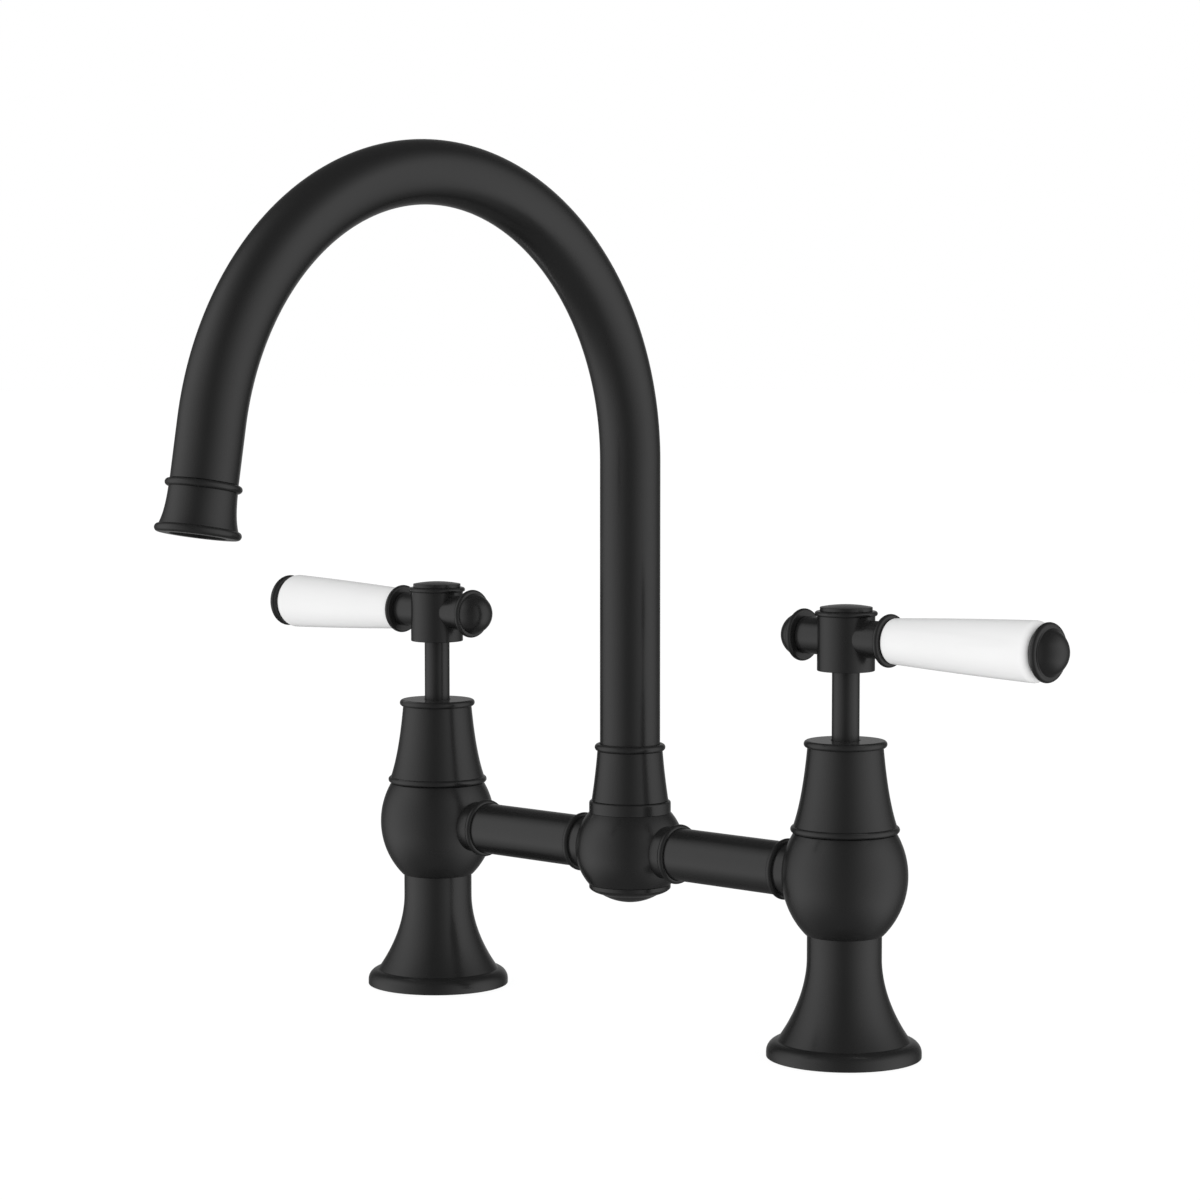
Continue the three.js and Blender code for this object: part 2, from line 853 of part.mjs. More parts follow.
function makeSpout() {
  const group = new THREE.Group();
  addPiece(group, "spout_tube", spoutGeometry(), "black");
  addPiece(group, "spout_nipple", nippleGeometry(), "brass");
  ["lower", "upper"].forEach((place, i) => {
    const oRing = new THREE.TorusGeometry(8.25, 0.8, 6, facets.medium).translate(0, 0, nipple.grooves[i]);
    addPiece(group, `${place}_swivel_o_ring`, oRing, "rubber");
  });
  group.add(makeOutlet());
  return group;
}

// ---- Assembly ----
const tap = new THREE.Group();
const sides = { left: -1, right: 1 };
for (const [side, direction] of Object.entries(sides)) {
  const x = (direction * deckCentres) / 2;
  const facingOut = direction > 0 ? 0 : Math.PI;

  const pillar = makePillar(side);
  pillar.position.x = x;
  pillar.rotation.z = Math.PI - facingOut;

  const handle = makeHandle(side);
  handle.position.set(x, 0, leverHeight[side]);
  handle.rotation.z = facingOut;

  const halfBridge = makeHalfBridge(side);
  halfBridge.position.z = bridgeHeight;
  halfBridge.rotation.z = facingOut;

  tap.add(pillar, handle, halfBridge);
}
tap.add(makeCentre(), makeSpout());

export default tap;
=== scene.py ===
# A bridge kitchen tap in satin black with white porcelain grips. Each piece that shows is made here
# in full detail, in millimetres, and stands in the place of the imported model's solid of that name.
import math

import bmesh
import bpy
from mathutils import Matrix, Vector


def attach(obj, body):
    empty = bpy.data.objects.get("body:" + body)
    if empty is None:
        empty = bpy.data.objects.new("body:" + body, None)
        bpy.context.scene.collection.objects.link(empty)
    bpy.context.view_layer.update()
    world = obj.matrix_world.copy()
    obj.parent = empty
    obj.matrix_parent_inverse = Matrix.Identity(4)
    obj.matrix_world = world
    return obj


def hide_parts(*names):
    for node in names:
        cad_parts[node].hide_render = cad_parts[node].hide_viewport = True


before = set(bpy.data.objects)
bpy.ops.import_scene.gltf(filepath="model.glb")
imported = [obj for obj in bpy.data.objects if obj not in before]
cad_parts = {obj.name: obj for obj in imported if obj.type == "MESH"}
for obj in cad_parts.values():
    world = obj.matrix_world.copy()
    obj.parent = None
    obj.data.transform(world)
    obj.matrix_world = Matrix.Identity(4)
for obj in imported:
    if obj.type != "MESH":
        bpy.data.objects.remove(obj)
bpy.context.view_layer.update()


# ---- Feet ----
# A flared foot carries each pillar on the deck. It is turned from brass bar, bored through for the
# water, and coated satin black. A rubber ring lies in the recess of its underside.
MM = 0.001
SIDES = {"left": -1, "right": 1}
DECK_CENTRES = 200
COAT_COLOUR = (0.0142, 0.0142, 0.0142)
CORNER = 25  # degrees by which an outline turns at a corner that is eased
CREASE = 40  # degrees between two faces that meet in an edge that shows


def arc(centre, radius, start, end, steps=12):
    """Points of an outline on an arc between two angles in degrees."""
    angles = [math.radians(start + (end - start) * i / steps) for i in range(steps + 1)]
    return [(centre[0] + radius * math.cos(a), centre[1] + radius * math.sin(a)) for a in angles]


def curve(controls, steps=16):
    """Points of an outline on a Bezier curve with any number of control points."""
    points = []
    for i in range(steps + 1):
        level = [Vector(control) for control in controls]
        while len(level) > 1:
            level = [a.lerp(b, i / steps) for a, b in zip(level, level[1:])]
        points.append(tuple(level[0]))
    return points


def bead(radius, height, minor, steps=14):
    """A half-round bead that stands out to this radius."""
    return arc((radius - minor, height), minor, -90, 90, steps)


def corner_angle(before, at, after):
    """How far an outline turns at a point, in degrees."""
    return math.degrees((Vector(at) - Vector(before)).angle(Vector(after) - Vector(at), 0))


def turned(outline, sides=96, edge=0.15):
    """An outline of (radius, height) points spun about the Z axis, its sharp corners eased."""
    mesh = bmesh.new()
    verts = [mesh.verts.new((radius, 0, height)) for radius, height in outline]
    closed = all(radius > 0 for radius, _ in outline)
    pairs = zip(verts, verts[1:] + verts[:1]) if closed else zip(verts, verts[1:])
    for pair in pairs:
        mesh.edges.new(pair)
    around = zip(outline[-1:] + outline, outline, outline[1:] + outline[:1])
    sharp = [vert for vert, points in zip(verts, around) if corner_angle(*points) > CORNER]
    sharp = [vert for vert in sharp if len(vert.link_edges) == 2]
    bmesh.ops.bevel(
        mesh, geom=sharp, offset=edge, offset_type="OFFSET", segments=3, profile=0.5,
        affect="VERTICES", material=-1, clamp_overlap=True,
    )
    bmesh.ops.spin(
        mesh, geom=mesh.verts[:] + mesh.edges[:], cent=(0, 0, 0), axis=(0, 0, 1),
        angle=2 * math.pi, steps=sides, use_merge=True,
    )
    bmesh.ops.remove_doubles(mesh, verts=mesh.verts[:], dist=1e-4)
    bmesh.ops.recalc_face_normals(mesh, faces=mesh.faces[:])
    return mesh


def ring(inner, outer, bottom, top, sides=96, edge=0.15):
    return turned([(inner, bottom), (outer, bottom), (outer, top), (inner, top)], sides, edge)


def shift(x=0, y=0, z=0):
    return Matrix.Translation((x, y, z))


def turn(degrees, axis):
    return Matrix.Rotation(math.radians(degrees), 4, axis)


class Wire:
    """An output of a material's node, on which Python's operators add Math nodes."""

    def __init__(self, nodes, socket):
        self.nodes = nodes
        self.socket = socket

    def maths(self, operation, *values):
        return self.nodes.node("Math", {"operation": operation}, dict(enumerate(values)))

    def __add__(self, other):
        return self.maths("ADD", self, other)

    def __sub__(self, other):
        return self.maths("SUBTRACT", self, other)

    def __rsub__(self, other):
        return self.maths("SUBTRACT", other, self)

    def __mul__(self, other):
        return self.maths("MULTIPLY", self, other)

    __radd__ = __add__
    __rmul__ = __mul__


class Nodes:
    """The node tree of a material or of the world."""

    def __init__(self, tree):
        self.tree = tree

    def plug(self, socket, value):
        if isinstance(value, Wire):
            self.tree.links.new(value.socket, socket)
        else:
            socket.default_value = value

    def node(self, kind, settings=None, sockets=None, output=0):
        """Adds a node, sets it up, plugs in values or wires, and returns one of its outputs."""
        made = self.tree.nodes.new("ShaderNode" + kind)
        for name, value in (settings or {}).items():
            setattr(made, name, value)
        for name, value in (sockets or {}).items():
            self.plug(made.inputs[name], value)
        return Wire(self, made.outputs[output])

    def blend(self, share, first, second):
        """The first colour, with this share of the second one."""
        return self.node("Mix", {"data_type": "RGBA"}, {0: share, 6: first, 7: second}, 2)


class Finish(Nodes):
    """A material: the shader's plain values are given, and patterns are plugged in after."""

    def __init__(self, name, **plain):
        self.material = bpy.data.materials.new(name)
        self.material.use_nodes = True
        super().__init__(self.material.node_tree)
        self.shader = self.tree.nodes["Principled BSDF"]
        self.place = self.node("TexCoord", output="Object")
        for socket, value in plain.items():
            self.set(socket.replace("_", " "), value)

    def set(self, socket, value):
        self.plug(self.shader.inputs[socket], value)

    def noise(self, size, detail=2.0, place=None):
        """Noise from 0 to 1 whose grains are about this size in metres."""
        sockets = {"Vector": place or self.place, "Scale": 1 / size, "Detail": detail}
        return self.node("TexNoise", {}, sockets)

    def bump(self, height, depth):
        """Raises the surface by the height, from 0 to 1, times this depth in metres."""
        self.set("Normal", self.node("Bump", {}, {"Height": height, "Distance": depth}))


def satin_coat():
    """Cured black coat: a faint orange peel, a fine grain in its gloss and no hue."""
    coat = Finish("satin black coat")
    peel = coat.noise(0.0016)
    grain = coat.noise(0.0003, 3.0)
    drift = coat.noise(0.03)
    darker = tuple(0.94 * value for value in COAT_COLOUR)
    lighter = tuple(1.06 * value for value in COAT_COLOUR)
    coat.set("Base Color", coat.blend(drift, (*darker, 1), (*lighter, 1)))
    coat.set("Roughness", 0.21 + 0.03 * grain + 0.04 * drift)
    coat.bump(0.8 * peel + 0.2 * grain, 0.00002)
    return coat.material


def black_rubber():
    """Moulded rubber: matt, with a dusty bloom in patches."""
    rubber = Finish("black rubber", Specular_IOR_Level=0.3)
    bloom = rubber.noise(0.006, 4.0)
    rubber.set("Base Color", rubber.blend(bloom, (0.012, 0.012, 0.012, 1), (0.03, 0.03, 0.03, 1)))
    rubber.set("Roughness", 0.72 + 0.2 * bloom)
    rubber.bump(rubber.noise(0.0004, 3.0), 0.00003)
    return rubber.material


def finished(name, mesh, place, finish, body):
    """Puts a millimetre mesh in its place, in metres, as the piece that stands for its node."""
    bmesh.ops.transform(mesh, matrix=Matrix.Scale(MM, 4) @ place, verts=mesh.verts[:])
    for face in mesh.faces:
        face.smooth = True
    for edge in mesh.edges:
        edge.smooth = edge.calc_face_angle(0) < math.radians(CREASE)
    data = bpy.data.meshes.new(name)
    mesh.to_mesh(data)
    mesh.free()
    data.materials.append(finish)
    piece = bpy.data.objects.new(name, data)
    bpy.context.scene.collection.objects.link(piece)
    normals = piece.modifiers.new("flat faces stay flat", "WEIGHTED_NORMAL")
    normals.keep_sharp = True
    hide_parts(name)
    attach(piece, body)


coat = satin_coat()
rubber = black_rubber()


def coated(name, mesh, place, body="body"):
    finished(name, mesh, place, coat, body)


FOOT_RADIUS = 27
FOOT_EDGE = 1.6
FOOT_ROUND = 4.2
FOOT_TOP = 42.7
FOOT_BORE = 10.7
WAIST = 13
GASKET = (18, 24)  # inner and outer radius
GASKET_THICKNESS = 1.2
RECESS = (17.8, 24.2, 1.4)  # the same of its groove, and the groove's depth


def foot():
    inner, outer, depth = RECESS
    shoulder = (FOOT_RADIUS - FOOT_ROUND, FOOT_EDGE)
    flare = [(23.1, 5.8), (15.9, 16), (WAIST, 26.3), (WAIST, 34.5)]
    return turned(
        [
            (FOOT_BORE, 0),
            (inner, 0),
            (inner, depth),
            (outer, depth),
            (outer, 0),
            (FOOT_RADIUS, 0),
            *arc(shoulder, FOOT_ROUND, 0, 86),
            *curve(flare, 28)[1:],
            (WAIST, FOOT_TOP),
            (FOOT_BORE, FOOT_TOP),
        ],
        sides=128,
    )


pillars = {side: shift(x=way * DECK_CENTRES / 2) for side, way in SIDES.items()}
for side, place in pillars.items():
    coated(f"{side}_foot", foot(), place)
    gasket = ring(*GASKET, 0, GASKET_THICKNESS, edge=0.3)
    finished(f"{side}_foot_gasket", gasket, place, rubber, "body")


# ---- Inlet bushes ----
# A brass bush in each foot takes the supply's tail from below. It is cut from bar, with a fine
# pipe thread in its bore, and only its lower end shows.
BUSH_RADIUS = 10.5
BUSH_BORE = 6.8
BUSH_HEIGHTS = (3, 49.7)
THREAD_PITCH = 0.0018


def turned_brass(name, thread=False):
    """Bare brass with the lathe tool's rings, dulled in patches."""
    brass = Finish(name, Metallic=1.0)
    stretch = brass.node("Mapping", {}, {"Vector": brass.place, "Scale": (0.02, 0.02, 1)})
    rings = brass.noise(0.0003, 4.0, stretch)
    dulled = brass.noise(0.008, 4.0)
    brass.set("Base Color", brass.blend(dulled, (0.60, 0.40, 0.15, 1), (0.42, 0.27, 0.10, 1)))
    brass.set("Roughness", 0.22 + 0.15 * rings + 0.12 * dulled)
    if thread:
        turns = brass.node(
            "TexWave",
            {"bands_direction": "Z", "wave_profile": "TRI"},
            {"Vector": brass.place, "Scale": math.pi / 10 / THREAD_PITCH},
        )
        brass.bump(turns, 0.0006)
    else:
        brass.bump(rings, 0.00001)
    return brass.material


plain_brass = turned_brass("turned brass")
threaded_brass = turned_brass("threaded brass", thread=True)

for side, place in pillars.items():
    bush = ring(BUSH_BORE, BUSH_RADIUS, *BUSH_HEIGHTS, edge=0.5)
    finished(f"{side}_inlet_bush", bush, place, threaded_brass, "body")


# ---- Valve bodies ----
# The pillar's belly is a hot-stamped brass body, turned and coated. The cartridge drops into it
# from above, and a seat bored in its inner side takes the bridge's union collar.
BRIDGE_HEIGHT = 62.8
BELLY_CENTRE = (-7.35, 63.25)
BELLY_RADIUS = 29.3
BELLY_HEIGHTS = (42.75, 78.2)
NECK_RADIUS = 14.2
NECK_TOP = 84
CAVITY = 11
CAVITY_FLOOR = 52.5
THROAT = 5.5
THROAT_FLOOR = 50
SEAT_RADIUS = 9.49
PORT_RADIUS = 7
PILLAR_SEAT = 17.1  # from the pillar's axis to the seat's bottom
SLIVER = 0.001  # edges shorter than this are merged after a cut


def angle_at(height, radius):
    """The angle, in degrees, at which an arc is this far above its centre."""
    return math.degrees(math.asin(height / radius))


def belly(centre, radius, heights, steps):
    bottom, top = (angle_at(height - centre[1], radius) for height in heights)
    return arc(centre, radius, bottom, top, steps)


def scratch(mesh):
    """A passing object of a mesh, for a cut."""
    data = bpy.data.meshes.new("scratch")
    mesh.to_mesh(data)
    mesh.free()
    made = bpy.data.objects.new("scratch", data)
    bpy.context.scene.collection.objects.link(made)
    return made


def combined(mesh, operation, *tools):
    """The mesh with the tools cut out of it or joined to it."""
    blank = scratch(mesh)
    passing = [blank] + [scratch(tool) for tool in tools]
    for tool in passing[1:]:
        step = blank.modifiers.new("step", "BOOLEAN")
        step.operation = operation
        step.solver = "EXACT"
        step.object = tool
    bpy.context.view_layer.update()
    shaped = blank.evaluated_get(bpy.context.evaluated_depsgraph_get())
    made = bmesh.new()
    made.from_mesh(shaped.to_mesh())
    bmesh.ops.dissolve_degenerate(made, edges=made.edges[:], dist=SLIVER)
    for item in passing:
        bpy.data.meshes.remove(item.data)
    return made


def bar(radius, bottom, top, sides=96, edge=0.15):
    return turned([(0, bottom), (radius, bottom), (radius, top), (0, top)], sides, edge)


def placed(mesh, place):
    bmesh.ops.transform(mesh, matrix=place, verts=mesh.verts[:])
    return mesh


ALONG_X = turn(90, "Y")


def seat_tools(seat, reach, place):
    """What is bored out of a body for a union collar, along +X from the seat's bottom."""
    along = place @ shift(z=BRIDGE_HEIGHT) @ ALONG_X
    return [
        placed(bar(SEAT_RADIUS, seat, reach), along),
        placed(bar(PORT_RADIUS, 0, seat + 1), along),
    ]


def valve_body():
    blank = turned(
        [
            (FOOT_BORE, BELLY_HEIGHTS[0]),
            *belly(BELLY_CENTRE, BELLY_RADIUS, BELLY_HEIGHTS, 32),
            (NECK_RADIUS, BELLY_HEIGHTS[1]),
            (NECK_RADIUS, NECK_TOP),
            (CAVITY, NECK_TOP),
            (CAVITY, CAVITY_FLOOR),
            (THROAT, CAVITY_FLOOR),
            (THROAT, THROAT_FLOOR),
            (FOOT_BORE, THROAT_FLOOR),
        ],
        sides=128,
    )
    return combined(blank, "DIFFERENCE", *seat_tools(PILLAR_SEAT, FOOT_RADIUS, Matrix()))


# The bridge leaves each pillar towards the middle.
inward = {side: pillars[side] @ turn(90 + 90 * way, "Z") for side, way in SIDES.items()}
for side, place in inward.items():
    coated(f"{side}_valve_body", valve_body(), place)


# ---- Bonnets ----
# A tapered cover screws down over the cartridge's nut. It is spun thin, with a bead rolled at its
# foot and another round its lid.
BONNET_BOTTOM = 78.25
LOWER_BEAD = (18.95, 79.5, 1.2)  # radius, height and minor radius
UPPER_BEAD = (14.45, 109.15, 1.29)
CONE_FOOT = 17.94
CONE_HEAD = 13.19
CONE_BEND = (14.79, 90.1)  # radius and height of the point that bends the cone's side
CONE_INSIDE = (15, 13.2)  # the inside's radii at its foot and at its bend
BONNET_WALL = 1.7
NECK_GAP = (0.2, 0.3)  # round the body's neck and over it
LID = 1.5
STEM_HOLE = 5.15


def bonnet():
    cone_bottom = LOWER_BEAD[1] + LOWER_BEAD[2]
    cone_top = UPPER_BEAD[1] - UPPER_BEAD[2]
    lid_top = UPPER_BEAD[1] + UPPER_BEAD[2]
    round_neck, over_neck = NECK_RADIUS + NECK_GAP[0], NECK_TOP + NECK_GAP[1]
    foot_inside, bend_inside = CONE_INSIDE
    wall_top = (CONE_HEAD - BONNET_WALL, cone_top)
    outside = curve([(CONE_FOOT, cone_bottom), CONE_BEND, (CONE_HEAD, cone_top)], 20)
    inside = curve([wall_top, (bend_inside, CONE_BEND[1]), (foot_inside, over_neck)], 12)
    return turned(
        [
            (round_neck, BONNET_BOTTOM),
            *bead(*LOWER_BEAD),
            *outside,
            *bead(*UPPER_BEAD),
            (STEM_HOLE, lid_top),
            (STEM_HOLE, lid_top - LID),
            (inside[0][0], lid_top - LID),
            *inside,
            (round_neck, over_neck),
        ],
        sides=128,
        edge=0.12,
    )


for side, place in pillars.items():
    coated(f"{side}_bonnet", bonnet(), place)


# ---- Cartridges ----
# Inside each pillar a brass housing holds two lapped ceramic discs. The spindle turns the upper
# one on the fixed one, and rubber seals keep the water in. None of it shows, so the solids stay.
def lapped_ceramic():
    """Sintered alumina: off-white, finely speckled and polished dull."""
    ceramic = Finish("lapped ceramic")
    speckle = ceramic.noise(0.0005, 3.0)
    ceramic.set("Base Color", ceramic.blend(speckle, (0.84, 0.82, 0.76, 1), (0.74, 0.72, 0.66, 1)))
    ceramic.set("Roughness", 0.25 + 0.15 * speckle)
    return ceramic.material


def dress(node, finish):
    """Gives a solid that stays its own finish."""
    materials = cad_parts[node].data.materials
    materials.clear()
    materials.append(finish)


ceramic = lapped_ceramic()
for side in SIDES:
    dress(f"{side}_seat_seal", rubber)
    dress(f"{side}_fixed_disc", ceramic)
    dress(f"{side}_moving_disc", ceramic)
    dress(f"{side}_cartridge_housing", plain_brass)
    dress(f"{side}_spindle", plain_brass)
    dress(f"{side}_spindle_o_ring", rubber)


# ---- Handle hubs ----
# A round stem rises through each bonnet to a hub with a cross arm, held by a screw down its
# middle. A domed button is pushed into the hub's top over the screw's head.
LEVER_HEIGHTS = {"left": 144.4, "right": 145.9}
STEM_RADIUS = 4.8
STEM_ENDS = (-47.5, 2.7)
SPINDLE_SOCKET = (3.8, -33)  # radius and top of the hole that takes the spindle
SCREW_END = -9
HUB_RADIUS = 10
HUB_BOTTOM = -11.4
HUB_BEAD = (10.85, 8.4, 0.85)
ARM_RADIUS = 6.5
ARM_REACH = 17.5
ARM_HOLE = 2.8
ARM_HOLE_DEPTH = 6
WEB = (3, 5)  # the wall that the screw's head presses on, from and to
CAP_BORE = 7.2
SCREW_HOLE = 2.2
CAP = (9.09, 9.3, 10.6, 11.5)  # rim radius, then the rim's bottom, the dome's edge and its apex
CAP_PLUG = (7.1, 6.5)  # radius and bottom of what is pushed into the hub
CAP_HOLLOW = (5.5, 9)  # radius and top of the hollow over the screw's head


def stem():
    lower, upper = STEM_ENDS
    socket, socket_top = SPINDLE_SOCKET
    return turned(
        [
            (0, socket_top),
            (socket, socket_top),
            (socket, lower),
            (STEM_RADIUS, lower),
            (STEM_RADIUS, upper),
            (SCREW_HOLE, upper),
            (SCREW_HOLE, SCREW_END),
            (0, SCREW_END),
        ]
    )


def hub():
    top = HUB_BEAD[1] + HUB_BEAD[2]
    barrel = turned(
        [
            (0, HUB_BOTTOM),
            (HUB_RADIUS, HUB_BOTTOM),
            (HUB_RADIUS, HUB_BEAD[1] - HUB_BEAD[2]),
            *bead(*HUB_BEAD),
            (0, top),
        ],
        edge=0.3,
    )
    arm = placed(bar(ARM_RADIUS, -ARM_REACH, ARM_REACH), ALONG_X)
    hole = ARM_REACH - ARM_HOLE_DEPTH
    return combined(
        combined(barrel, "UNION", arm),
        "DIFFERENCE",
        bar(STEM_RADIUS + 0.1, HUB_BOTTOM - 1, WEB[0]),
        bar(SCREW_HOLE, WEB[0] - 1, WEB[1] + 1, 32),
        bar(CAP_BORE, WEB[1], top + 1),
        placed(bar(ARM_HOLE, hole, ARM_REACH + 1, 48), ALONG_X),
        placed(bar(ARM_HOLE, -ARM_REACH - 1, -hole, 48), ALONG_X),
    )


def cap():
    radius, bottom, edge, apex = CAP
    plug_radius, plug_bottom = CAP_PLUG
    hollow, ceiling = CAP_HOLLOW
    rise = apex - edge
    dome = (radius**2 + rise**2) / (2 * rise)
    rim = angle_at(edge - (apex - dome), dome)
    return turned(
        [
            (0, ceiling),
            (hollow, ceiling),
            (hollow, plug_bottom),
            (plug_radius, plug_bottom),
            (plug_radius, bottom),
            (radius, bottom),
            *arc((0, apex - dome), dome, rim, 90, 16),
        ],
        edge=0.1,
    )


def machine_steel():
    """Stainless steel off the machine, with fine lines round it."""
    steel = Finish("machined steel", Metallic=1.0)
    lines = steel.noise(0.0004, 4.0)
    steel.set("Base Color", steel.blend(lines, (0.42, 0.43, 0.44, 1), (0.52, 0.53, 0.54, 1)))
    steel.set("Roughness", 0.24 + 0.14 * lines)
    steel.bump(lines, 0.00001)
    return steel.material


steel = machine_steel()
levers = {
    side: pillars[side] @ shift(z=LEVER_HEIGHTS[side]) @ turn(90 - 90 * way, "Z")
    for side, way in SIDES.items()
}
for side, place in levers.items():
    coated(f"{side}_stem", stem(), place, f"{side}_handle")
    coated(f"{side}_handle_hub", hub(), place, f"{side}_handle")
    coated(f"{side}_hub_cap", cap(), place, f"{side}_handle")
    dress(f"{side}_handle_screw", steel)


# ---- Levers ----
# A steel rod through the porcelain pulls the end cap, the grip and its collar against the hub's
# arm, and a round finial closes the arm's other end. The grip is cast, fired and glazed white.
COLLAR = (9.2, 18.9, 1.1)  # rim radius, distance from the spindle's axis, minor radius
FINIAL = (9.15, 18.9, 1.1)
FINIAL_DOME = (26.8, 7.8)  # the dome's apex and its radius
FINIAL_SPIGOT = (2.5, 11.8)  # radius and start of the pin in the hub's arm
END_CAP = (10.06, 83.95, 1.3)
END_CAP_DOME = (90.75, 8.6)
CAP_SEAT = (8.6, 81.8)  # radius and start of the step that bears on the porcelain
ROD_HOLE = (2.8, 87.4)  # radius, and the hole's end in the end cap
GRIP_ENDS = (20.2, 81.6)
GRIP_BORE = 3.2
GRIP_FACE = 6.7  # radius of the grip's flat end at the collar
GRIP_ROUND = 1.2
GRIP_TAPER = ((7.88, 21.4), (9.46, 50), (10.36, 78.7))


def button_front(rim, apex, dome):
    """The outer side of a round button: a rolled rim, a narrow ledge and a broad dome."""
    radius, at, minor = rim
    rolled = arc((radius - minor, at), minor, -90, 100, 16)
    start = angle_at(rolled[-1][1] - (apex - dome), dome)
    return [*rolled, *arc((0, apex - dome), dome, start, 90, 20)]


def finial():
    back = FINIAL[1] - FINIAL[2]
    radius, start = FINIAL_SPIGOT
    spigot = [(0, start), (radius, start), (radius, back)]
    return turned([*spigot, *button_front(FINIAL, *FINIAL_DOME)], edge=0.2)


def end_cap():
    back = END_CAP[1] - END_CAP[2]
    radius, start = CAP_SEAT
    hole, end = ROD_HOLE
    seat = [(0, end), (hole, end), (hole, start), (radius, start), (radius, back)]
    return turned([*seat, *button_front(END_CAP, *END_CAP_DOME)], edge=0.2)


def collar():
    _, at, minor = COLLAR
    hole, _ = ROD_HOLE
    return turned([(hole, at - minor), *bead(*COLLAR), (hole, at + minor)], edge=0.12)


def grip():
    inner, outer = GRIP_ENDS
    end_radius, end_start = GRIP_TAPER[2]
    shoulder = outer - end_start
    rounding = (GRIP_TAPER[0][0] - GRIP_ROUND, inner + GRIP_ROUND)
    return turned(
        [
            (GRIP_BORE, inner),
            (GRIP_FACE, inner),
            *arc(rounding, GRIP_ROUND, -90, 0, 8)[1:],
            *curve(GRIP_TAPER, 20),
            *arc((end_radius - shoulder, end_start), shoulder, 0, 90, 10)[1:],
            (GRIP_BORE, outer),
        ],
        edge=0.3,
    )


def glazed_porcelain():
    """Glossy white glaze that lies a little uneven."""
    glaze = Finish("white glaze", IOR=1.5, Specular_IOR_Level=0.3)
    pooled = glaze.noise(0.02)
    ripple = glaze.noise(0.005)
    glaze.set("Base Color", glaze.blend(pooled, (0.90, 0.90, 0.90, 1), (0.87, 0.87, 0.87, 1)))
    glaze.set("Roughness", 0.08 + 0.05 * pooled)
    glaze.bump(ripple, 0.00006)
    return glaze.material


glaze = glazed_porcelain()
for side, place in levers.items():
    along = place @ ALONG_X
    coated(f"{side}_finial", finial(), place @ turn(180, "Z") @ ALONG_X, f"{side}_handle")
    coated(f"{side}_grip_collar", collar(), along, f"{side}_handle")
    coated(f"{side}_grip_end_cap", end_cap(), along, f"{side}_handle")
    finished(f"{side}_porcelain_grip", grip(), along, glaze, f"{side}_handle")
    dress(f"{side}_grip_rod", steel)


# ---- Bridge ----
# Two drawn tubes carry the water from the pillars to the middle. Each end is brazed into a union
# collar with a raised ring, and the collars are sealed into the bodies' seats.
UNION_LENGTH = 9.9
UNION_SLEEVE = 9.45
UNION_RING = (10.85, 1.3)  # radius and minor radius
UNION_BORE = 7.3
UNION_SOCKET = 9.6
SOCKET_DEPTH = 1.4
TUBE_RADIUS = 9.5
TUBE_BORE = 7.6
CENTRE_SEAT = 14.5  # from the middle to the seat's bottom
SEAT_GAP = 0.3
SOCKET_GAP = 0.1


def union():
    radius, minor = UNION_RING
    outline = [
        (UNION_BORE, 0),
        (UNION_SLEEVE, 0),
        (UNION_SLEEVE, UNION_LENGTH - 2 * minor),
        *arc((radius - minor, UNION_LENGTH - minor), minor, -90, 86, 14),
        (UNION_SOCKET, UNION_LENGTH),
        (UNION_SOCKET, UNION_LENGTH - SOCKET_DEPTH),
        (UNION_BORE, UNION_LENGTH - SOCKET_DEPTH),
    ]
    return turned(outline, edge=0.1)


for side, way in SIDES.items():
    outwards = shift(z=BRIDGE_HEIGHT) @ turn(90 - 90 * way, "Z")
    inner = CENTRE_SEAT + SEAT_GAP
    outer = DECK_CENTRES / 2 - PILLAR_SEAT - SEAT_GAP
    into_tube = UNION_LENGTH - SOCKET_DEPTH + SOCKET_GAP
    tube = ring(TUBE_BORE, TUBE_RADIUS, inner + into_tube, outer - into_tube, edge=0.1)
    from_pillar = outwards @ shift(x=outer) @ turn(180, "Z") @ ALONG_X
    coated(f"{side}_inner_union", union(), outwards @ shift(x=inner) @ ALONG_X)
    coated(f"{side}_bridge_tube", tube, outwards @ ALONG_X)
    coated(f"{side}_outer_union", union(), from_pillar)


# ---- Centre body ----
# A smaller round body mixes the water and carries the spout. A domed plug closes its chamber
# below; above, a plain lock ring and a tapered hood screw on its neck over the spout's nipple.
MIDDLE = Matrix()
CENTRE_BALL = 20
CENTRE_HEIGHTS = (49.7, 76.05)
PLUG_BORE = 10.6
SWIVEL_BORE = 9.2
CENTRE_NECK = 12.2
CENTRE_NECK_TOP = 82.5
CHAMBER = (12, 54, 70)  # radius, floor and top
PLUG_DOME = 20
PLUG_APEX = 42.9
PLUG_DOME_EDGE = 10.4
PLUG_FLANGE = (14.96, 49.6)  # radius and top
PLUG_SPIGOT = (10.4, 55)
SCREWED_BORE = 12.4  # of the two pieces that screw on the neck
LOCK_RING = (14.96, 76.1, 80.4, 0.9)  # radius, bottom, top and the rounding of its upper edge
HOOD_CONE = ((14.05, 80.5), (12.63, 90))  # its foot, and the point that bends its side
HOOD_HEAD = 11.95
HOOD_BEAD = (12.95, 99.95, 1.3)
HOOD_SHOULDER = 85.5
HOOD_BORE = 11.15


